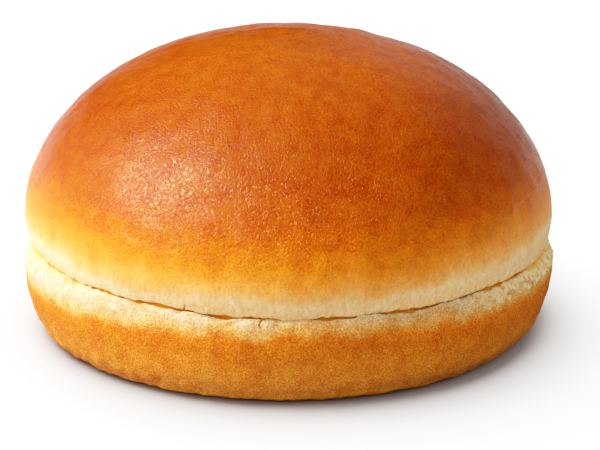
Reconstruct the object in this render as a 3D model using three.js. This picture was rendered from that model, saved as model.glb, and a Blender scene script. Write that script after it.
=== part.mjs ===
// A round bread roll, baked with a domed top and then sliced level, with its crown resting back on its heel.
// Units are millimetres and +Z is up. The origin is under the middle, on the level it rests on.
import * as THREE from "three";

// Driving dimensions
const ROLL_RADIUS = 54; // of the crown, at its widest
const ROLL_HEIGHT = 59.2;
const BELLY_HEIGHT = 23.6; // where the crown is widest
const CUT_HEIGHT = 18.4; // of the knife's level
const HEEL_RADIUS = 54.2;
const HEEL_BELLY_HEIGHT = 14; // where the heel is widest
const BASE_RADIUS = 47.4; // of the flat that stood on the baking tray

// The dome is a superellipse, fuller at the shoulder than a ball
const DOME_HEIGHT_POWER = 1.82;
const DOME_RADIUS_POWER = 2.16;
const LIP_TUCK = 0.8; // the crown draws in by this from its belly to its lip
const LIP_ROUNDING = 0.9;
const RIM_TUCK = 0.5; // the heel draws in by this from its belly to its rim

// The cut is close inside, and its two edges stand apart here and there
const JOINT_GAP = 0.3;
const MOUTH_DEPTH = 9; // how far in from the rim an open stretch reaches
const CUT_RINGS = [30, 44, 48.5]; // radii of the rings in both cut faces, which keeps the faces alike

// How much of the heel's edge is torn away, which is more at the two sides than at the front and back
const FRONT_TEAR = { inwards: 0.6, down: 0.5 };
const SIDE_TEAR = { inwards: 1.5, down: 3.2 };

// Open stretches of the cut: the middle, in degrees round from the front towards +X, the half width in degrees,
// and how far the edges stand apart
const OPEN_STRETCHES = [
  { middle: -41, spread: 4, gap: 0.35 },
  { middle: -27, spread: 6, gap: 0.7 },
  { middle: -12, spread: 5, gap: 0.9 },
  { middle: 10, spread: 3.2, gap: 1.1 },
  { middle: 25, spread: 5.5, gap: 1.2 },
  { middle: 37, spread: 4, gap: 0.5 },
  { middle: 50, spread: 6, gap: 1.0 },
  { middle: 78, spread: 8, gap: 0.8 },
  { middle: 118, spread: 7, gap: 0.9 },
  { middle: 152, spread: 5, gap: 1.1 },
  { middle: 176, spread: 4, gap: 0.6 },
  { middle: -150, spread: 6, gap: 1.0 },
  { middle: -118, spread: 8, gap: 0.6 },
  { middle: -80, spread: 7, gap: 0.7 },
];

// Unevenness, as waves round the roll: how many go round, their height, and the phase in radians
const CROWN_WAVES = [[2, 0.35, 0.6], [3, 0.25, 2.1], [5, 0.14, 4.0], [8, 0.07, 1.2]];
const HEEL_WAVES = [[1, 0.28, 0], [3, 0.18, 0.4], [7, 0.12, 2.6], [12, 0.08, 5.1]];
const CUT_WAVES = [[1, 0.32, 3.1], [4, 0.22, 4.0], [9, 0.12, 0.5], [17, 0.11, 2.2], [29, 0.08, 4.4]];
const FOOT_WAVES = [[1, 0.35, 3.1], [11, 0.14, 0.9], [19, 0.16, 3.7], [31, 0.12, 1.8]];

// Facets: round the roll, up the tuck, up the dome, and up the heel's rounded foot
const TURNS = 120;
const LIP_STEPS = 2;
const TUCK_STEPS = 4;
const DOME_STEPS = 17;
const FOOT_STEPS = 6;

const FULL_TURN = 2 * Math.PI;
const QUARTER_TURN = Math.PI / 2;

const degrees = THREE.MathUtils.degToRad;
const lerp = THREE.MathUtils.lerp;
const smooth = (x) => THREE.MathUtils.smoothstep(x, 0, 1);
const steps = (count, value) => Array.from({ length: count + 1 }, (_, i) => value(i / count));
const at = (radius, height) => new THREE.Vector2(radius, height);

// The sum of some waves round the roll
function waves(rows, turn) {
  return rows.reduce((sum, [count, height, phase]) => sum + height * Math.sin(count * turn + phase), 0);
}

// How far apart the edges of the cut stand at a turn
function mouthGap(turn) {
  return OPEN_STRETCHES.reduce((widest, { middle, spread, gap }) => {
    const past = turn - degrees(middle);
    const away = Math.atan2(Math.sin(past), Math.cos(past)) / degrees(spread);
    return Math.max(widest, gap * Math.exp(-(away ** 2)));
  }, 0);
}

// A point of a cut face: level in the middle and wandering towards the rim, where the open stretches are
// The side is 1 for the crown's face and -1 for the heel's
function cutFace(side, turn, radius) {
  const wander = waves(CUT_WAVES, turn) * smooth(radius / ROLL_RADIUS);
  const mouth = mouthGap(turn) * smooth(1 - (HEEL_RADIUS - radius) / MOUTH_DEPTH);
  return at(radius, CUT_HEIGHT + wander + (side * (JOINT_GAP + mouth)) / 2);
}

// How much of the heel's edge is torn away at a turn
function tear(turn) {
  const sideways = Math.sin(turn) ** 6;
  const ragged = 1 + 0.25 * Math.sin(13 * turn + 1) * Math.sin(5 * turn);
  return {
    inwards: ragged * lerp(FRONT_TEAR.inwards, SIDE_TEAR.inwards, sideways),
    down: ragged * lerp(FRONT_TEAR.down, SIDE_TEAR.down, sideways),
  };
}

// The crown's outline at a turn: out along its cut face, round the lip, up to the belly, and up the dome
function crownOutline(turn) {
  const belly = ROLL_RADIUS + waves(CROWN_WAVES, turn);
  const lipEnd = cutFace(1, turn, belly - LIP_TUCK);
  const face = [0, ...CUT_RINGS].map((radius) => cutFace(1, turn, radius));
  const lip = steps(LIP_STEPS, (share) => {
    const angle = share * QUARTER_TURN;
    const inwards = LIP_ROUNDING * (1 - Math.sin(angle));
    return at(lipEnd.x - inwards, lipEnd.y + LIP_ROUNDING * (1 - Math.cos(angle)));
  });
  const tuck = steps(TUCK_STEPS, (share) => {
    const height = lerp(lipEnd.y + LIP_ROUNDING, BELLY_HEIGHT, share);
    return at(belly - LIP_TUCK * (1 - share) ** 2, height);
  });
  const dome = steps(DOME_STEPS, (share) => {
    const rise = Math.sin(share * QUARTER_TURN); // so that the rings lie closer together near the top
    const spread = (1 - rise ** DOME_HEIGHT_POWER) ** (1 / DOME_RADIUS_POWER);
    return at(belly * spread, lerp(BELLY_HEIGHT, ROLL_HEIGHT, rise));
  });
  return [...face, ...lip, ...tuck.slice(1, -1), ...dome.slice(0, -1), at(0, ROLL_HEIGHT)];
}

// The heel's outline at a turn: out along the base, round the foot, up to the torn edge, and in along its cut
function heelOutline(turn) {
  const belly = HEEL_RADIUS + waves(HEEL_WAVES, turn);
  const base = BASE_RADIUS + waves(FOOT_WAVES, turn);
  const foot = steps(FOOT_STEPS, (share) => {
    const angle = share * QUARTER_TURN;
    return at(lerp(base, belly, Math.sin(angle)), HEEL_BELLY_HEIGHT * (1 - Math.cos(angle)));
  });
  const { inwards, down } = tear(turn);
  const crest = cutFace(-1, turn, belly - RIM_TUCK - inwards);
  const rim = at(belly - RIM_TUCK, crest.y - down);
  const belowRim = at(lerp(belly, rim.x, 0.3), lerp(HEEL_BELLY_HEIGHT, rim.y, 0.55));
  const midTear = at(lerp(rim.x, crest.x, 0.35), lerp(rim.y, crest.y, 0.6));
  const face = [0, ...CUT_RINGS].reverse().map((radius) => cutFace(-1, turn, radius));
  return [at(0, 0), ...foot, belowRim, rim, midTear, crest, ...face];
}

// A closed body turned about +Z, whose outline differs from turn to turn
function turnedBody(outline) {
  const geometry = new THREE.LatheGeometry(outline(0), TURNS);
  const position = geometry.getAttribute("position");
  for (let step = 0; step <= TURNS; step++) {
    const turn = ((step % TURNS) / TURNS) * FULL_TURN;
    const points = outline(turn);
    points.forEach(({ x: radius, y: height }, i) => {
      position.setXYZ(step * points.length + i, radius * Math.sin(turn), -radius * Math.cos(turn), height);
    });
  }
  geometry.computeVertexNormals();
  return geometry;
}

function crown() {
  const glazedCrust = new THREE.MeshStandardMaterial({ color: "#cb741f", roughness: 0.38, metalness: 0 });
  const mesh = new THREE.Mesh(turnedBody(crownOutline), glazedCrust);
  mesh.name = "crown";
  return mesh;
}

function heel() {
  const dryCrust = new THREE.MeshStandardMaterial({ color: "#cf883a", roughness: 0.85, metalness: 0 });
  const mesh = new THREE.Mesh(turnedBody(heelOutline), dryCrust);
  mesh.name = "heel";
  return mesh;
}

const roll = new THREE.Group();
roll.add(heel(), crown());

// The waves put the roll a little off centre, so it is moved to have the origin under its middle
const middle = new THREE.Box3().setFromObject(roll).getCenter(new THREE.Vector3());
roll.position.set(-middle.x, -middle.y, 0);

export default roll;
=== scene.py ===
# %% [markdown]
# # A glazed bread roll
#
# This lesson dresses a sliced bread roll: a domed crown that was brushed with egg before baking, resting
# on a thinner heel whose side stayed dry. The solids come from CAD and give the sizes. Blender gives what
# makes bread look like bread: a finely wrinkled glaze, a pale band where the dough rose last, and a torn,
# crumbly cut.

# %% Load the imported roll
import math

import bpy
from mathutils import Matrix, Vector, noise
from mathutils.bvhtree import BVHTree


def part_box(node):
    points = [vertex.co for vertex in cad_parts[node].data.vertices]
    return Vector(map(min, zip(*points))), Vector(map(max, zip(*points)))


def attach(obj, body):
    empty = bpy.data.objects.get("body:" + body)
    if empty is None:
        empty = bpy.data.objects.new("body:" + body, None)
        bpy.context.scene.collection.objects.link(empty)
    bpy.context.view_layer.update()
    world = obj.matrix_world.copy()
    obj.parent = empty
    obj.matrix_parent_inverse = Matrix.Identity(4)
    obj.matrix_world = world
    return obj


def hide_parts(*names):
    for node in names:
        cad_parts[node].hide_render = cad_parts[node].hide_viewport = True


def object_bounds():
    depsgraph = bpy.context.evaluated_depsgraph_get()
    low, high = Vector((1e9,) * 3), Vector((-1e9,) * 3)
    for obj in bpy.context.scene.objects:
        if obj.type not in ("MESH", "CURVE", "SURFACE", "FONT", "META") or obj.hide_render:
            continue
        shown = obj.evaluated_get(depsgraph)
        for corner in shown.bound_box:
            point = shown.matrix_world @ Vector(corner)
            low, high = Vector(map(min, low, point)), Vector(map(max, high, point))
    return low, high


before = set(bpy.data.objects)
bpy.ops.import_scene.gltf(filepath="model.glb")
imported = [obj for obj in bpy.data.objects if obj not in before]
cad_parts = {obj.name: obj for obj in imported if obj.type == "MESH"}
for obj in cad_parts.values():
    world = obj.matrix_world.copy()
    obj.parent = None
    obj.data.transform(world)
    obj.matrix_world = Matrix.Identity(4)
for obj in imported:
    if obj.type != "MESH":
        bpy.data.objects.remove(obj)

MM = 0.001
cad_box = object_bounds()
ROLL_LOW, ROLL_HIGH = (Vector(corner) for corner in cad_box)
ROLL_HEIGHT = ROLL_HIGH.z
ROLL_RADIUS = (ROLL_HIGH.x - ROLL_LOW.x) / 2
CROWN_LOW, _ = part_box("crown")
_, HEEL_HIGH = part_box("heel")
CUT_LEVEL = (CROWN_LOW.z + HEEL_HIGH.z) / 2
print(f"The roll is {2 * ROLL_RADIUS / MM:.1f} mm across and {ROLL_HEIGHT / MM:.1f} mm high, "
      f"cut {CUT_LEVEL / MM:.1f} mm up")

# %% [markdown]
# ## The camera
#
# A food photographer stands a little above the table with a long lens, so that the roll looks full and
# its ellipse stays calm. The photograph's proportions give a view from 17.5 degrees above the level,
# about ten times the roll's radius away. The focal length makes the roll as wide in the frame as it is
# there, and the aim puts it in the same place, so no lens shift is needed.

# %% Camera
PHOTO_WIDTH_PX = 600
FOCAL_PX = 2652
SENSOR_WIDTH_MM = 36
VIEW_ELEVATION = math.radians(17.5)
VIEW_DISTANCE = 0.540
VIEW_MIDDLE = Vector((-0.2 * MM, 0, ROLL_HEIGHT / 2))
AIM_OFFSET = Vector((2.4, -3.0, -9.4)) * MM


def towards(azimuth, elevation):
    """The unit direction at an azimuth from the front towards +X, and an elevation, both in radians."""
    level = math.cos(elevation)
    return Vector((math.sin(azimuth) * level, -math.cos(azimuth) * level, math.sin(elevation)))


def look_at(thing, target):
    """Turns a camera or a light to face a point."""
    thing.rotation_euler = (target - thing.location).to_track_quat("-Z", "Y").to_euler()


bpy.ops.object.camera_add(location=VIEW_MIDDLE + VIEW_DISTANCE * towards(0, VIEW_ELEVATION))
camera = bpy.context.object
camera.name = "photo_camera"
camera.data.sensor_width = SENSOR_WIDTH_MM
camera.data.lens = FOCAL_PX / PHOTO_WIDTH_PX * SENSOR_WIDTH_MM
camera.data.clip_start = 0.01
look_at(camera, VIEW_MIDDLE + AIM_OFFSET)
bpy.context.scene.camera = camera
print(f"The lens is {camera.data.lens:.0f} mm")

# %% [markdown]
# ## Working by hand, in code
#
# Edit-mode operators act on whatever is selected, so each step first selects one piece, and then its
# edges by a rule about their place. A vertex group holds how strongly a modifier acts at each point,
# which is what a mask is in sculpting. Each modifier is applied at once, so the finished piece is plain
# mesh.

# %% Helpers for shaping


def select_only(piece):
    """Makes one object the only one selected, and the active one."""
    bpy.ops.object.select_all(action="DESELECT")
    piece.select_set(True)
    bpy.context.view_layer.objects.active = piece


def apply_modifier(piece, kind, name, **settings):
    """Adds a modifier with its settings, and applies it."""
    select_only(piece)
    modifier = piece.modifiers.new(name, kind)
    for setting, value in settings.items():
        setattr(modifier, setting, value)
    bpy.ops.object.modifier_apply(modifier=modifier.name)


def mask(piece, name, weight):
    """A vertex group, weighted by a function of each point's place in millimetres and its normal."""
    group = piece.vertex_groups.new(name=name)
    for vertex in piece.data.vertices:
        strength = weight(vertex.co / MM, vertex.normal)
        if strength > 0:
            group.add([vertex.index], min(strength, 1), "REPLACE")
    return name


def push(piece, texture, depth, group, direction="NORMAL"):
    """Displaces a piece by a texture, by about depth each way, where the group's mask lets it."""
    apply_modifier(piece, "DISPLACE", texture.name, texture=texture, texture_coords="LOCAL", mid_level=0.5,
                   strength=4 * depth, vertex_group=group, direction=direction)


def clouds(name, grain, octaves=2):
    """A soft random texture for displacement, with lumps of about the grain's size."""
    texture = bpy.data.textures.new(name, "CLOUDS")
    texture.noise_scale = grain
    texture.noise_depth = octaves
    return texture


def ease(low, high, value):
    """Rises smoothly from 0 at low to 1 at high, and falls where high is the smaller of the two."""
    share = min(max((value - low) / (high - low), 0), 1)
    return share * share * (3 - 2 * share)


def radius_of(place):
    """How far a place is from the roll's axis."""
    return math.hypot(place.x, place.y)


def turn_of(place):
    """How far round the roll a place is, in degrees from the front towards +X."""
    return math.degrees(math.atan2(place.x, -place.y))


# %% [markdown]
# ## A smooth body from each solid
#
# The CAD solids have the right form in flat facets 3 mm wide. Sculpting the form again would only move
# it, so each piece starts from a copy of its solid: the loose triangles are merged and paired into
# squares, and two levels of Subdivision Surface round them off. The torn edges need points much closer
# together than the dome does, so the edges that run round the roll are divided again there, and only
# there. The cut also gets fine steps inwards from its rim, because its open stretches are only a
# millimetre or two deep. Radii are written as how far they lie inside the roll's outline, and heights as
# how far they are from the cut.

# %% Smooth bodies
SMOOTHING_LEVELS = 2
CUT = CUT_LEVEL / MM
RIM = round(ROLL_RADIUS / MM)            # the outline, to the nearest millimetre
STEPPED_BAND = (RIM - 4, RIM - 0.8)
STEPPED_HEIGHT = 1.5
STEPS_INWARDS = 2


def smooth_body(node, name):
    """A rounded copy of a CAD solid, as a new piece."""
    piece = bpy.data.objects.new(name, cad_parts[node].data.copy())
    piece.data.name = name
    piece.data.materials.clear()
    bpy.context.scene.collection.objects.link(piece)
    select_only(piece)
    bpy.ops.mesh.customdata_custom_splitnormals_clear()
    bpy.ops.object.mode_set(mode="EDIT")
    bpy.ops.mesh.select_all(action="SELECT")
    bpy.ops.mesh.remove_doubles(threshold=0.001 * MM)
    bpy.ops.mesh.tris_convert_to_quads(face_threshold=math.pi, shape_threshold=math.pi)
    bpy.ops.object.mode_set(mode="OBJECT")
    apply_modifier(piece, "SUBSURF", "rounding", levels=SMOOTHING_LEVELS, render_levels=SMOOTHING_LEVELS)
    return piece


def divide_edges(piece, rule, cuts=1):
    """Divides the edges whose middle and direction, in millimetres, fit a rule."""
    select_only(piece)
    bpy.ops.object.mode_set(mode="EDIT")
    bpy.ops.mesh.select_mode(type="EDGE")
    bpy.ops.mesh.select_all(action="DESELECT")
    bpy.ops.object.mode_set(mode="OBJECT")
    points = piece.data.vertices
    for edge in piece.data.edges:
        start, end = (points[corner].co / MM for corner in edge.vertices)
        edge.select = rule((start + end) / 2, (end - start).normalized())
    bpy.ops.object.mode_set(mode="EDIT")
    bpy.ops.mesh.subdivide(number_cuts=cuts)
    bpy.ops.object.mode_set(mode="OBJECT")


def runs_round(place, direction):
    """Whether an edge runs round the roll instead of up or inwards."""
    tangent = Vector((-place.y, place.x, 0)).normalized()
    return abs(direction.dot(tangent)) > 0.9


def divide_round(piece, outside, above=-math.inf, below=math.inf):
    """Divides the edges that run round the roll, outside a radius and between two heights."""
    divide_edges(piece, lambda place, direction:
                 runs_round(place, direction) and radius_of(place) > outside and above < place.z < below)


def runs_in(place, direction):
    """Whether an edge runs in from the rim of the cut."""
    inner, outer = STEPPED_BAND
    return (not runs_round(place, direction) and abs(direction.z) < 0.5
            and inner < radius_of(place) < outer and abs(place.z - CUT) < STEPPED_HEIGHT)


crown = smooth_body("crown", "crown_crust")
heel = smooth_body("heel", "heel_crust")
divide_round(crown, outside=RIM - 5, below=CUT + 5)
divide_round(crown, outside=RIM - 3, below=CUT + 1.6)
divide_round(heel, outside=RIM - 5, above=CUT - 7)
divide_round(heel, outside=RIM - 3.5, above=CUT - 4.5)
for piece in (crown, heel):
    divide_edges(piece, runs_in, cuts=STEPS_INWARDS)
    print(f"{piece.name} has {len(piece.data.vertices)} points to shape")

# %% [markdown]
# ## Closing the cut
#
# Bread sags back onto itself after slicing, and its soft faces press into each other. So the solids' thin
# joint is closed, and stays open only at the rim, in the same open stretches as the solids have, as
# shallow grooves that tearing has made uneven. For each point of a cut face a ray finds how far away the
# other face is, and the point moves by half of what has to close. Where the cut is shut, the faces are
# pressed a little past meeting, so that no dark line of shadow is left between them.

# %% Close the cut
JOINT_GAP = 0.3                          # between the solids, all over
CUT_WANDER = 2                           # how far the cut strays from its level, at most
FARTHEST_FACE = 2.5                      # how far the rays look
MOUTH_BAND = (RIM - 3.5, RIM - 2.3)      # where the open stretches of the solids are measured
COLUMNS = 480                            # that the points are counted in, round the roll
GROOVE_BAND = (RIM - 1.9, RIM - 1.6)     # where a groove opens, from nothing to its full height
OPEN_SHARE = 1.05                        # of the solids' opening that stays
SHUT_GAP = 0.2                           # a groove lower than this begins to count as shut
PRESSED = 0.24                           # how far the shut faces go past meeting
TATTER_FINENESS = 22                     # of the torn edge's unevenness, for a roll with a radius of 1


def column_of(place):
    """The number of the column of points that a place is in, counted round the roll."""
    return round(turn_of(place) / 360 * COLUMNS) % COLUMNS


def tatters(place):
    """How much tearing widens or narrows the open stretches at a turn: about 1, from 0.3 to 1.5."""
    outwards = Vector((place.x, place.y, 0)).normalized()
    return min(max(0.95 + 1.3 * noise.noise(outwards * TATTER_FINENESS), 0.3), 1.5)


def shut(gap):
    """1 where the edges of the cut meet, falling to 0 where they stand apart."""
    return ease(SHUT_GAP, 0, gap)


def measure_cut(piece, other, way):
    """How far away the other piece's face is, for each point of a cut face, and how far each column gapes.

    Way is -1 for the upper piece and 1 for the lower one. All is in millimetres.
    """
    tree = BVHTree.FromObject(other, bpy.context.evaluated_depsgraph_get())
    inner, outer = MOUTH_BAND
    gaps = {}
    mouth = {}
    for vertex in piece.data.vertices:
        place = vertex.co / MM
        if way * vertex.normal.z < 0.8 or abs(place.z - CUT) > CUT_WANDER:
            continue
        hit = tree.ray_cast(vertex.co, Vector((0, 0, way)), FARTHEST_FACE * MM)
        if hit[0] is None:
            continue
        gaps[vertex.index] = hit[3] / MM
        if inner < radius_of(place) < outer:
            column = column_of(place)
            mouth[column] = max(mouth.get(column, 0), hit[3] / MM - JOINT_GAP)
    return gaps, mouth


def close_cut(piece, other, way):
    """How far each point of a cut face has to rise to close the cut, in millimetres.

    How far apart the edges stay at the rim is stored as an attribute of the points.
    """
    gaps, mouth = measure_cut(piece, other, way)
    shut_inside, open_outside = GROOVE_BAND
    opened = piece.data.attributes.new("opened", "FLOAT", "POINT")
    moves = {}
    for index, gap in gaps.items():
        vertex = piece.data.vertices[index]
        place = vertex.co / MM
        opening = min(max((radius_of(place) - shut_inside) / (open_outside - shut_inside), 0), 1)
        at_rim = OPEN_SHARE * mouth.get(column_of(place), 0) * tatters(place)
        opened.data[index].value = at_rim
        stays = at_rim * opening
        level = ease(0.8, 0.97, way * vertex.normal.z)
        moves[index] = way * level * (gap - stays + PRESSED * shut(stays)) / 2
    return moves


# Both faces are measured before either of them moves
crown_moves = close_cut(crown, heel, -1)
heel_moves = close_cut(heel, crown, 1)
for piece, moves in ((crown, crown_moves), (heel, heel_moves)):
    for index, rise in moves.items():
        piece.data.vertices[index].co.z += rise * MM
    print(f"{len(moves)} points of {piece.name} moved, by {max(map(abs, moves.values())):.2f} mm at most")

# %% [markdown]
# The knife left the crown's lip sharp, with less rounding than the solid has. Each column of points is
# squeezed towards the lowest point of its lip. Where the cut is shut, the lip also hangs a little over
# the heel's edge, as soft crust does.

# %% Sharpen the lip
LIP_BAND = (RIM - 1.65, RIM - 1.0)       # where the lowest point of the lip is looked for
SQUEEZED_OUTSIDE = RIM - 1.7
LIP_HEIGHT = 0.9                         # of the solid's rounding
SHARP_LIP = 0.4                          # of that height which is kept
LIP_REACH = 3.4                          # how far up the side is stretched to match
LIP_HANG = 0.3


def measure_lip():
    """The lowest point of the crown's lip, and how far the cut is open there, for each column."""
    inner, outer = LIP_BAND
    lowest = {}
    opening = {}
    opened = crown.data.attributes["opened"].data
    for vertex in crown.data.vertices:
        place = vertex.co / MM
        column = column_of(place)
        if inner < radius_of(place) < outer and place.z < CUT + CUT_WANDER:
            lowest[column] = min(lowest.get(column, CUT + CUT_WANDER), place.z)
            opening[column] = max(opening.get(column, 0), opened[vertex.index].value)
    return lowest, opening


def squeeze(above):
    """Where a height above the lip goes: the rounding is squeezed, and the side over it stretched."""
    if above < LIP_HEIGHT:
        return SHARP_LIP * above
    stretch = (LIP_REACH - SHARP_LIP * LIP_HEIGHT) / (LIP_REACH - LIP_HEIGHT)
    return LIP_REACH - (LIP_REACH - above) * stretch


lip_level, lip_opening = measure_lip()
for vertex in crown.data.vertices:
    place = vertex.co / MM
    column = column_of(place)
    above = place.z - lip_level[column]
    if radius_of(place) > SQUEEZED_OUTSIDE and 0 < above < LIP_REACH:
        hangs = LIP_HANG * shut(lip_opening[column]) * (1 - above / LIP_REACH)
        vertex.co.z += (squeeze(above) - above - hangs) * MM
crown.data.update()
print(f"The lip wanders by {max(lip_level.values()) - min(lip_level.values()):.1f} mm round the roll")

# %% [markdown]
# ## Uneven dough
#
# Dough proves unevenly, so the dome carries broad, very shallow swells, and finer dimples between them
# that only show in the gloss. They are displaced in the mesh. The heel's side stood against its
# neighbours on the tray and dried: it is lumpier, above all at its foot, and has the fine grain of
# unglazed crust.

# %% Swells, dimples and grain
BASE_FLAT = 0.6


def on_side(place, normal):
    """How strongly the heel's side is displaced at a place. Its flat base stays as it is."""
    return ease(BASE_FLAT, 2.5, place.z) * ease(RIM - 5, RIM - 2, radius_of(place))


dome_mask = mask(crown, "dome", lambda place, normal: ease(CUT + 1, CUT + 8, place.z))
push(crown, clouds("swells", 15 * MM), 0.22 * MM, dome_mask)
push(crown, clouds("dimples", 4 * MM), 0.09 * MM, dome_mask)

side_mask = mask(heel, "side", on_side)
push(heel, clouds("lumps", 6 * MM), 0.16 * MM, side_mask)
push(heel, clouds("grain", 1.6 * MM), 0.06 * MM, side_mask)
foot_mask = mask(heel, "foot", lambda place, normal: ease(0.2, 1.0, place.z) * ease(7, 2.5, place.z))
push(heel, clouds("foot_lumps", 2.2 * MM), 0.32 * MM, foot_mask)

# %% [markdown]
# ## The torn cut
#
# A knife goes through soft bread by tearing as much as by cutting. The edge of the crown's crust hangs in
# small waves over the crumb, and the heel's edge shows pitted crumb where it was pulled away, most of all
# at the two sides. All of it is displacement, kept to the edge by a mask: up and down for the ragged
# lines, and along the normals for the crumbs and pits.

# %% Torn edges


def on_edge(place, normal):
    """How strongly the crown's edge is displaced at a place."""
    return ease(CUT + 3, CUT + 0.5, place.z) * ease(RIM - 5, RIM - 2.5, radius_of(place))


def at_side(place):
    """How far a place is at the right side of the roll, from 0 to 1, or at the left side, from 0 to 0.5."""
    across = place.x / ROLL_RADIUS * MM
    return ease(0.5, 0.85, across) + 0.5 * ease(-0.5, -0.85, across)


def on_ledge(place, normal, strength=1):
    """How strongly the heel's torn ledge is displaced at a place."""
    level = strength * ease(0.1, 0.35, normal.z)
    return level * ease(CUT - 6, CUT - 4, place.z) * ease(RIM - 3.5, RIM - 2, radius_of(place))


edge_mask = mask(crown, "edge", on_edge)
push(crown, clouds("ragged_lip", 2.6 * MM, 3), 0.15 * MM, edge_mask, "Z")
push(crown, clouds("lip_crumb", 0.8 * MM, 3), 0.12 * MM, edge_mask)

rim_mask = mask(heel, "rim", on_ledge)
push(heel, clouds("ragged_rim", 2.2 * MM, 3), 0.14 * MM, rim_mask, "Z")
torn_mask = mask(heel, "torn", lambda place, normal: on_ledge(place, normal, 0.3 + 0.7 * at_side(place)))
push(heel, clouds("tears", 3.5 * MM, 3), 0.22 * MM, torn_mask)
push(heel, clouds("pitted_crumb", 1.4 * MM, 3), 0.32 * MM, torn_mask)

# %% [markdown]
# Two short cracks run off the cut, one up into the crown and one down into the heel. Each is a groove,
# sunk where the mesh is divided finely just for it.

# %% Cracks
CRACKS = [
    (crown, {"turn": -21.7, "reach": 2.3, "way": 1}),
    (heel, {"turn": -5.7, "reach": 2.2, "way": -1}),
]
CRACK_WIDTH = 0.16
CRACK_DEPTH = 0.7
CRACK_SWAY = 0.25                        # how far a crack strays to each side
SWAY_PACE = 2.4                          # in radians for each millimetre up
CRACK_ROOT = 1                           # how far it starts behind the level of the cut
SUNK_OUTSIDE = RIM - 2.5
FINE_OUTSIDE = RIM - 2
FINE_TURN = 1.4                          # the finer mesh to each side, in degrees
FINE_BEYOND = 0.5                        # and beyond the end of the crack


def crack_strength(place, turn, reach, way):
    """How deep the crack is at a place, from 0 to 1."""
    along = way * (place.z - CUT)
    aside = math.radians(turn_of(place) - turn) * ROLL_RADIUS / MM
    wander = CRACK_SWAY * math.sin(SWAY_PACE * place.z + turn)
    across = math.exp(-((aside - wander) / CRACK_WIDTH) ** 2)
    return across * ease(reach, 0.5 * reach, along) * (along > -CRACK_ROOT)


def near_crack(place, turn, reach, way):
    """Whether a place is so near the crack that the mesh has to be finer there."""
    along = way * (place.z - CUT)
    beside = abs(turn_of(place) - turn) < FINE_TURN
    return beside and radius_of(place) > FINE_OUTSIDE and -CRACK_ROOT < along < reach + FINE_BEYOND


def sink_crack(piece, crack):
    """Divides the mesh round a crack, and sinks the crack into it."""
    for _ in range(2):
        divide_edges(piece, lambda place, direction: near_crack(place, **crack))
    for vertex in piece.data.vertices:
        place = vertex.co / MM
        if radius_of(place) > SUNK_OUTSIDE:
            outwards = Vector((place.x, place.y, 0)).normalized()
            vertex.co -= outwards * CRACK_DEPTH * crack_strength(place, **crack) * MM


for piece, crack in CRACKS:
    sink_crack(piece, crack)
    print(f"A crack in {piece.name} runs {crack['reach']} mm from the cut")

# %% [markdown]
# ## Where crumb shows, and where shade is painted
#
# Bare crumb is paler and more golden than crust. The walls inside the cut lie in shade, and that shade is
# painted on them as a warm ochre, as it is under the crown's lip and in the cracks. The material has to
# know where both are, so each piece stores them as attributes of its points: one for bare crumb on the cut
# faces, the torn ledge and the two cracks, and one for the painted shade inside the cut, at half strength
# where the cut is shut.

# %% Mark the crumb and the painted shade in the cut
# The painted shade inside the cut: where it lies, how far the cut must be open for its full strength, its
# strength where the cut is shut, and its strength and the crumb's in the cracks
SLIT_BAND = (RIM - 1.4, RIM - 1.0)       # from all inside the cut to all outside it
SLIT_SEEN = (0.04, 0.15)                 # how far open it is, where the mark rises to full strength
SHUT_STRENGTH = 0.5                      # of the mark where the cut is shut
CRACK_CRUMB_AND_SHADE = 0.6                        # of both marks in the cracks


def mark_crumb_and_shade(piece, way, cracks):
    """Stores how far each point is bare crumb, and how strongly shade is painted on it inside the cut, both
    from 0 to 1.

    Way is -1 for the upper piece and 1 for the lower one.
    """
    for name in ("crumb", "slit_shade"):
        piece.data.attributes.new(name, "FLOAT", "POINT")
    piece.data.update()
    crumb, slit_shade, opened = (piece.data.attributes[name].data for name in ("crumb", "slit_shade", "opened"))
    inner, outer = SLIT_BAND
    for vertex in piece.data.vertices:
        place = vertex.co / MM
        near_cut = ease(6, 4, abs(place.z - CUT))
        face = ease(0.8, 0.95, way * vertex.normal.z)
        torn = ease(0.1, 0.4, way * vertex.normal.z) * at_side(place)
        cracked = CRACK_CRUMB_AND_SHADE * max((crack_strength(place, **crack) for crack in cracks), default=0)
        crumb[vertex.index].value = max(near_cut * max(face, torn), cracked)
        # Painted shade: ochre inside the rim of the cut, under the crown's lip and in the cracks, half as
        # strong where the cut is shut
        inside = ease(outer, inner, radius_of(place))
        if piece is crown:
            inside = max(inside, ease(0.4, 0.9, -vertex.normal.z))
        wide = ease(*SLIT_SEEN, opened[vertex.index].value)
        marked = SHUT_STRENGTH + (1 - SHUT_STRENGTH) * wide
        slit_shade[vertex.index].value = max(near_cut * inside * marked, cracked)


for body, way in ((crown, -1), (heel, 1)):
    mark_crumb_and_shade(body, way, [crack for piece, crack in CRACKS if piece is body])
    select_only(body)
    bpy.ops.object.shade_smooth()
    print(f"{body.name} has {sum(len(face.vertices) - 2 for face in body.data.polygons)} triangles")

# %% [markdown]
# ## Building materials
#
# Every material here is a Principled BSDF whose colour, roughness and bump come from the place on the
# piece, in millimetres, so the scale of a noise is about how many of its lumps fit in a millimetre.
# Colours are written as sRGB hex, the way a colour picker shows them, and turned to linear light.

# %% Helpers for materials
TO_MM = (1000, 1000, 1000)


def linear(hex_colour):
    """A linear RGBA colour from an sRGB hex string."""
    channels = [int(hex_colour[i:i + 2], 16) / 255 for i in (1, 3, 5)]
    curve = [c / 12.92 if c <= 0.04045 else ((c + 0.055) / 1.055) ** 2.4 for c in channels]
    return (*curve, 1)


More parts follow.
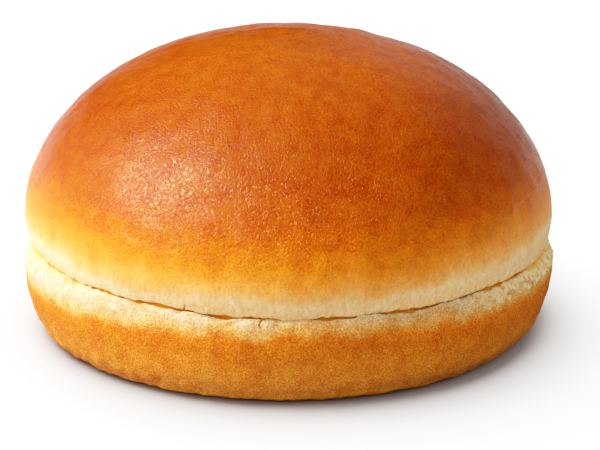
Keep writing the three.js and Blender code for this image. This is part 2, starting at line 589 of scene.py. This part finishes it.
def add_node(tree, kind, links=None, stops=None, **settings):
    """Adds a node with its settings.

    Links give sockets a value or another node's output, and stops fill a colour ramp.
    """
    node = tree.nodes.new(kind)
    for setting, value in settings.items():
        setattr(node, setting, value)
    for socket, value in (links or {}).items():
        if isinstance(value, bpy.types.NodeSocket):
            tree.links.new(value, node.inputs[socket])
        else:
            node.inputs[socket].default_value = value
    for place, (position, colour) in enumerate(stops or []):
        ramp = node.color_ramp.elements
        stop = ramp[place] if place < 2 else ramp.new(position)
        stop.position = position
        stop.color = linear(colour)
    return node


def new_material(name):
    """A new material, its node tree and its Principled BSDF, which is wired to the output already."""
    material = bpy.data.materials.new(name)
    material.use_nodes = True
    return material, material.node_tree, material.node_tree.nodes["Principled BSDF"]


def places_on(tree):
    """Each point's place on its piece in millimetres: as one vector, and across, along and up."""
    place = add_node(tree, "ShaderNodeTexCoord").outputs["Object"]
    in_mm = add_node(tree, "ShaderNodeMapping", {"Vector": place, "Scale": TO_MM}).outputs[0]
    return in_mm, *add_node(tree, "ShaderNodeSeparateXYZ", {0: in_mm}).outputs


def darken(tree, colour, pattern, stops, strength=1.0):
    """Multiplies a colour by the tones that a ramp gives a pattern."""
    tone = add_node(tree, "ShaderNodeValToRGB", {0: pattern}, stops).outputs[0]
    return add_node(tree, "ShaderNodeMix", {0: strength, 6: colour, 7: tone},
                    data_type="RGBA", blend_type="MULTIPLY").outputs[2]


def bake_stops(bake, low, high):
    """Colour ramp stops from a list of heights and colours."""
    return [((height - low) / (high - low), colour) for height, colour in bake]


# %% [markdown]
# ## Soft bread under the crust
#
# Bread is a foam of wheat starch, so light goes a millimetre or two into it and comes out warmer. Where
# the crust is pale and thin, and where crumb is bare, that makes it glow. Both pieces end in the same
# way: the crust's colour gives way to pitted crumb, and to a warm ochre painted as the shade inside the
# cut, where the points are marked so, and subsurface scattering is strong where the bread is pale.

# %% Bare crumb
LIGHT_REACH = 1.5 * MM
BREAD_SCATTER = (1.0, 0.6, 0.3)
BROWN_GLOW = 0.12
PALE_GLOW = 0.75
# The painted shade inside the cut and under the crown's lip: a warm ochre
SLIT_SHADE_TONE = "#f2ac45"
CRUMB_TONES = [(0.34, "#dca85a"), (0.46, "#ecca8e"), (0.6, "#f4dcb0")]


def finish_bread(tree, surface, in_mm, crust, paleness):
    """Colours a piece of bread from its crust's colour and its crumb, paints warm ochre shade inside the
    cut, and lets light into its pale parts and crumb.
    """
    bare = add_node(tree, "ShaderNodeAttribute", attribute_name="crumb").outputs["Fac"]
    slit_shade = add_node(tree, "ShaderNodeAttribute", attribute_name="slit_shade").outputs["Fac"]
    holes = add_node(tree, "ShaderNodeTexNoise", {"Vector": in_mm, "Scale": 1.2, "Detail": 6.0}).outputs[0]
    crumb = add_node(tree, "ShaderNodeValToRGB", {0: holes}, CRUMB_TONES).outputs[0]
    torn = add_node(tree, "ShaderNodeMix", {0: bare, 6: crust, 7: crumb}, data_type="RGBA").outputs[2]
    # Painted shade inside the cut: the ochre tone covers crust and crumb where the points are marked
    colour = add_node(tree, "ShaderNodeMix", {0: slit_shade, 6: torn, 7: linear(SLIT_SHADE_TONE)},
                      data_type="RGBA").outputs[2]
    tree.links.new(colour, surface.inputs["Base Color"])

    soft = add_node(tree, "ShaderNodeMath", {0: bare, 1: paleness}, operation="MAXIMUM").outputs[0]
    glow = add_node(tree, "ShaderNodeMapRange",
                    {0: soft, 1: 0.0, 2: 1.0, 3: BROWN_GLOW, 4: PALE_GLOW}).outputs[0]
    tree.links.new(glow, surface.inputs["Subsurface Weight"])
    surface.inputs["Subsurface Scale"].default_value = LIGHT_REACH
    surface.inputs["Subsurface Radius"].default_value = BREAD_SCATTER


# %% [markdown]
# ## Egg-washed crust
#
# The crown is soft wheat crust under an egg wash. The wash browns deep amber at the top, where the oven
# was hottest, and thins out down the side, so the colour runs from amber through gold to cream at the
# cut. As the glaze dried it shrank into wrinkles about half a millimetre apart, too fine for the mesh, so
# they are bump, with shade painted darker into their hollows. They break its highlight into fine sparks.

# %% Glazed crust material
TOP = ROLL_HEIGHT / MM
RADIUS = ROLL_RADIUS / MM
# Millimetres up, and the crust's colour there, which another program fitted to the photograph
CROWN_BAKE = [
    (18.4, "#f6ce96"),
    (21.0, "#f6d4a1"),
    (23.0, "#f6b666"),
    (25.5, "#f69d36"),
    (28.0, "#e6860b"),
    (31.0, "#d77204"),
    (35.0, "#bb5a04"),
    (40.0, "#aa4e04"),
    (47.0, "#a04804"),
    (TOP, "#a7540c"),
]
CROWN_DRIFT = 5.0                        # of the bands, upwards
CROWN_LOWERED = 1.4                      # taken off again, because the drift only adds
WRINKLE_DEPTH = 0.1 * MM


def glazed_crust():
    """Egg-washed bread crust: amber over gold over cream, glossy, with a fine shrunken skin."""
    material, tree, surface = new_material("egg_washed_crust")
    in_mm, across, along, height = places_on(tree)

    # The pale band climbs higher at the two sides, and drifts up and down by a few millimetres
    across_squared = add_node(tree, "ShaderNodeMath", {0: across, 1: across},
                              operation="MULTIPLY").outputs[0]
    lowering = add_node(tree, "ShaderNodeMath", {0: across, 1: -1.0 / RADIUS ** 3, 2: -2.9 / RADIUS ** 2},
                        operation="MULTIPLY_ADD").outputs[0]
    lowered = add_node(tree, "ShaderNodeMath", {0: across_squared, 1: lowering, 2: height},
                       operation="MULTIPLY_ADD").outputs[0]
    leaned = add_node(tree, "ShaderNodeMath", {0: along, 1: 1.1 / RADIUS, 2: lowered},
                      operation="MULTIPLY_ADD").outputs[0]
    drift = add_node(tree, "ShaderNodeTexNoise", {"Vector": in_mm, "Scale": 0.11, "Detail": 4.0}).outputs[0]
    baked_height = add_node(tree, "ShaderNodeMath", {0: drift, 1: CROWN_DRIFT, 2: leaned},
                            operation="MULTIPLY_ADD").outputs[0]
    share = add_node(tree, "ShaderNodeMapRange",
                     {0: baked_height, 1: CUT + CROWN_LOWERED, 2: TOP + CROWN_LOWERED}).outputs[0]
    baked = add_node(tree, "ShaderNodeValToRGB", {0: share}, bake_stops(CROWN_BAKE, CUT, TOP)).outputs[0]

    # Soft amber mottling, where the wash lies thicker
    washed = add_node(tree, "ShaderNodeMapRange", {0: share, 1: 0.08, 2: 0.3, 3: 0.25, 4: 1.0}).outputs[0]
    mottle = add_node(tree, "ShaderNodeTexNoise",
                      {"Vector": in_mm, "Scale": 0.3, "Detail": 6.0, "Roughness": 0.65}).outputs[0]
    mottled = darken(tree, baked, mottle, [(0.34, "#efd0ac"), (0.6, "#ffffff")], washed)

    # The wrinkled skin: creases along the level lines of a noise, and finer puckers all over
    swirl = add_node(tree, "ShaderNodeTexNoise",
                     {"Vector": in_mm, "Scale": 1.5, "Detail": 2.0, "Distortion": 0.4,
                      "Roughness": 0.6}).outputs[0]
    from_level = add_node(tree, "ShaderNodeMath", {0: swirl, 1: 0.5}, operation="SUBTRACT").outputs[0]
    away = add_node(tree, "ShaderNodeMath", {0: from_level}, operation="ABSOLUTE").outputs[0]
    crest = add_node(tree, "ShaderNodeMapRange", {0: away, 1: 0.0, 2: 0.11, 3: 0.0, 4: 0.6},
                     interpolation_type="SMOOTHSTEP").outputs[0]
    puckers = add_node(tree, "ShaderNodeTexNoise",
                       {"Vector": in_mm, "Scale": 2.4, "Detail": 2.0}).outputs[0]
    wrinkles = add_node(tree, "ShaderNodeMath", {0: puckers, 1: 1.2, 2: crest},
                        operation="MULTIPLY_ADD").outputs[0]
    # Painted shade: the skin is darker where the wrinkles' relief is low, as shade lies in the hollows
    wrinkled = darken(tree, mottled, wrinkles, [(0.5, "#dcbf9e"), (0.95, "#ffffff")], washed)

    # Upright streaks in the pale band, where the skin stretched as the dough rose
    upright = add_node(tree, "ShaderNodeMapping", {"Vector": in_mm, "Scale": (1, 1, 0.4)}).outputs[0]
    streaks = add_node(tree, "ShaderNodeTexNoise",
                       {"Vector": upright, "Scale": 1.5, "Detail": 4.0, "Roughness": 0.65}).outputs[0]
    stretched = add_node(tree, "ShaderNodeMapRange", {0: share, 1: 0.1, 2: 0.4, 3: 0.55, 4: 0.0}).outputs[0]
    streaked = darken(tree, wrinkled, streaks, [(0.38, "#e9cfa6"), (0.6, "#ffffff")], stretched)

    paleness = add_node(tree, "ShaderNodeMapRange", {0: share, 1: 0.05, 2: 0.22, 3: 0.8, 4: 0.0}).outputs[0]
    finish_bread(tree, surface, in_mm, streaked, paleness)

    # The wrinkles are deepest and the skin is glossiest where the wash is thick
    depth = add_node(tree, "ShaderNodeMapRange", {0: share, 1: 0.08, 2: 0.42, 3: 0.3, 4: 1.0}).outputs[0]
    relief = add_node(tree, "ShaderNodeMath", {0: wrinkles, 1: depth}, operation="MULTIPLY").outputs[0]
    bump = add_node(tree, "ShaderNodeBump",
                    {"Strength": 1.0, "Distance": WRINKLE_DEPTH, "Height": relief}).outputs[0]
    tree.links.new(bump, surface.inputs["Normal"])
    gloss = add_node(tree, "ShaderNodeMapRange", {0: share, 1: 0.08, 2: 0.35, 3: 0.65, 4: 0.17}).outputs[0]
    tree.links.new(gloss, surface.inputs["Roughness"])
    surface.inputs["Specular IOR Level"].default_value = 0.46
    surface.inputs["Specular Tint"].default_value = linear("#ffe0b6")
    return material


# %% [markdown]
# ## Dry crust
#
# The heel is the same dough without the wash. Its side is matte and finely grained: cream at the cut,
# where it rose last, orange-brown round the middle, and a duller tan towards the tray, with a dark brown
# line along the lowest millimetre of the foot.

# %% Dry crust material
# Millimetres up, and the crust's colour there, which another program fitted to the photograph
HEEL_BAKE = [
    (0.0, "#f6902c"),
    (1.5, "#f6ab3c"),
    (3.0, "#e08f3e"),
    (6.0, "#f19b35"),
    (10.0, "#ea8b1e"),
    (12.5, "#e78204"),
    (14.5, "#f68c16"),
    (16.0, "#f6bf66"),
    (17.2, "#f5ca90"),
    (CUT, "#f3d6a8"),
]
HEEL_DRIFT = 4.0                         # of the bands, upwards
HEEL_LOWERED = 2.0                       # taken off again, because the drift only adds
GRAIN_DEPTH = 0.3 * MM


def dry_crust():
    """Unglazed bread crust: matte, grainy, tan-orange with a cream edge."""
    material, tree, surface = new_material("dry_baked_crust")
    in_mm, across, _, height = places_on(tree)

    # The cream edge reaches lower at the two sides, and drifts up and down by a few millimetres
    across_squared = add_node(tree, "ShaderNodeMath", {0: across, 1: across},
                              operation="MULTIPLY").outputs[0]
    raised = add_node(tree, "ShaderNodeMath", {0: across_squared, 1: 3.0 / RADIUS ** 2, 2: height},
                      operation="MULTIPLY_ADD").outputs[0]
    tilted = add_node(tree, "ShaderNodeMath", {0: across, 1: -0.7 / RADIUS, 2: raised},
                      operation="MULTIPLY_ADD").outputs[0]
    drift = add_node(tree, "ShaderNodeTexNoise", {"Vector": in_mm, "Scale": 0.16, "Detail": 5.0}).outputs[0]
    baked_height = add_node(tree, "ShaderNodeMath", {0: drift, 1: HEEL_DRIFT, 2: tilted},
                            operation="MULTIPLY_ADD").outputs[0]
    share = add_node(tree, "ShaderNodeMapRange",
                     {0: baked_height, 1: HEEL_LOWERED, 2: CUT + HEEL_LOWERED}).outputs[0]
    baked = add_node(tree, "ShaderNodeValToRGB", {0: share}, bake_stops(HEEL_BAKE, 0, CUT)).outputs[0]

    # Soft blotches, and the grain of crust that dried without a wash
    blotches = add_node(tree, "ShaderNodeTexNoise",
                        {"Vector": in_mm, "Scale": 0.35, "Detail": 4.0}).outputs[0]
    blotched = darken(tree, baked, blotches, [(0.35, "#f2dcc0"), (0.62, "#ffffff")])
    grain = add_node(tree, "ShaderNodeTexNoise",
                     {"Vector": in_mm, "Scale": 3.0, "Detail": 4.0, "Roughness": 0.7,
                      "Distortion": 0.3}).outputs[0]
    grained = darken(tree, blotched, grain, [(0.36, "#c9ae94"), (0.6, "#ffffff")])

    # Dry pale tips on the grain, and a dark brown line along the lowest millimetre of the foot
    tips = add_node(tree, "ShaderNodeMapRange", {0: grain, 1: 0.5, 2: 0.7, 3: 0.0, 4: 0.12}).outputs[0]
    tipped = add_node(tree, "ShaderNodeMix", {0: tips, 6: grained, 7: linear("#ffe2b8")},
                      data_type="RGBA").outputs[2]
    darker_at_foot = add_node(tree, "ShaderNodeMapRange", {0: height, 1: 0.15, 2: 1.1, 3: 0.75, 4: 0.0}).outputs[0]
    footed = add_node(tree, "ShaderNodeMix", {0: darker_at_foot, 6: tipped, 7: linear("#7a3306")},
                      data_type="RGBA").outputs[2]

    paleness = add_node(tree, "ShaderNodeMapRange", {0: share, 1: 0.75, 2: 0.95, 3: 0.0, 4: 0.8}).outputs[0]
    finish_bread(tree, surface, in_mm, footed, paleness)

    relief = add_node(tree, "ShaderNodeTexNoise",
                      {"Vector": in_mm, "Scale": 2.0, "Detail": 5.0, "Roughness": 0.65}).outputs[0]
    bump = add_node(tree, "ShaderNodeBump",
                    {"Strength": 1.0, "Distance": GRAIN_DEPTH, "Height": relief}).outputs[0]
    tree.links.new(bump, surface.inputs["Normal"])
    surface.inputs["Roughness"].default_value = 0.75
    surface.inputs["Specular IOR Level"].default_value = 0.15
    return material


crown.data.materials.append(glazed_crust())
heel.data.materials.append(dry_crust())
for body in (crown, heel):
    print(f"{body.name} wears {body.data.materials[0].name}")

# %% [markdown]
# ## Joining the roll to its frame
#
# Food has no joints, so both pieces ride on the one body. Each takes the place of its solid, which is
# hidden.

# %% Join the roll to its frame
for piece, node, slot in ((crown, "crown", "glazed_crust"), (heel, "heel", "dry_crust")):
    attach(piece, "root")
    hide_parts(node)

# %% [markdown]
# ## The table
#
# The roll stands on a plain pale table. It is in two parts, because food photographers light table and
# food apart. The camera sees a pale grey table that one lamp lights almost to white. Just under it lies a
# grey card that the camera doesn't see, which sends up the light that the roll gets from below.

# %% Table
STAGE_SIDE = 6
JUST_BELOW = 0.2 * MM


def ground(name, level, colour):
    """A wide level stage with a matte finish."""
    bpy.ops.mesh.primitive_plane_add(size=STAGE_SIDE, location=(0, 0, level))
    plane = bpy.context.object
    plane.name = name
    paint, _, surface = new_material(name)
    surface.inputs["Base Color"].default_value = linear(colour)
    surface.inputs["Roughness"].default_value = 0.9
    surface.inputs["Specular IOR Level"].default_value = 0.0
    plane.data.materials.append(paint)
    return plane


table = ground("white_table", 0, "#b8b8b8")
table.visible_diffuse = False
table.visible_glossy = False
table.visible_shadow = False
card = ground("bounce_card", -JUST_BELOW, "#a8a8a8")
card.visible_camera = False

# %% [markdown]
# ## Studio light
#
# One softbox high on the left gives the bright side and the broad highlight on the dome, and an even
# white surround fills the rest. The surround is kept out of the gloss, where it would lie over the dark
# glaze as a haze. A dim backdrop behind the roll, which only the gloss sees, gives the thin light edge
# instead. The table has a lamp of its own, high behind the roll on the left, which makes its soft shadow
# close round the foot. Light linking keeps the lamps apart, so each is set without changing what the
# other lights.

# %% Lights
LIT_MIDDLE = Vector((0, 0, 0.03))
SURROUND = 0.98


def light_group(name, things):
    """A collection that tells a lamp which things it lights."""
    group = bpy.data.collections.new(name)
    for thing in things:
        group.objects.link(thing)
    return group


def softbox(name, azimuth, elevation, distance, side, lit, group):
    """A square panel of light that faces the roll. Lit is how bright it makes a white card there."""
    place = LIT_MIDDLE + distance * towards(math.radians(azimuth), math.radians(elevation))
    bpy.ops.object.light_add(type="AREA", location=place)
    lamp = bpy.context.object
    lamp.name = name
    lamp.data.size = side
    lamp.data.energy = math.pi ** 2 * distance ** 2 * lit
    lamp.visible_camera = False
    lamp.light_linking.receiver_collection = group
    look_at(lamp, LIT_MIDDLE)
    print(f"{name} gives {lamp.data.energy:.1f} W from {distance} m away")
    return lamp


food_light = light_group("food_light", (crown, heel, card))
table_light = light_group("table_light", (table,))
softbox("key_softbox", azimuth=-80, elevation=44, distance=0.9, side=0.42, lit=2.9, group=food_light)
softbox("table_lamp", azimuth=-130, elevation=71, distance=1.6, side=2.2, lit=6.2, group=table_light)
backdrop = softbox("lit_backdrop", azimuth=160, elevation=14, distance=0.9, side=0.5, lit=0.05,
                   group=food_light)
backdrop.visible_diffuse = False

world = bpy.data.worlds.new("studio")
bpy.context.scene.world = world
world.use_nodes = True
world.node_tree.nodes["Background"].inputs["Color"].default_value = linear("#ffffff")
world.node_tree.nodes["Background"].inputs["Strength"].default_value = SURROUND
world.cycles_visibility.glossy = False

# %% [markdown]
# ## The film curve
#
# Photographs of food are printed with contrast. Dark tones sink a little, which makes the amber richer,
# and bright ones level off softly instead of clipping. The curve runs over the linear light, before the
# display's own.

# %% Film curve
FILM_TOE = 0.03
FILM_WHITE = 1.2
FILM_RANGE = 4.0
FILM_POINTS = (0.02, 0.05, 0.1, 0.2, 0.35, 0.55, 0.8, 1.1, 1.5, 2.0, 3.0)


def film(light):
    """How bright the film shows a light of some strength."""
    deepened = light ** 2 / (light + FILM_TOE)
    return min(deepened / math.sqrt(1 + (deepened / FILM_WHITE) ** 2), 1)


view = bpy.context.scene.view_settings
view.view_transform = "Standard"
view.use_curve_mapping = True
view.curve_mapping.white_level = (FILM_RANGE, FILM_RANGE, FILM_RANGE)
all_channels = view.curve_mapping.curves[3]
for strength in FILM_POINTS:
    all_channels.points.new(strength / FILM_RANGE, film(strength))
view.curve_mapping.update()
print(f"A light of 1 shows at {film(1):.2f} of white")
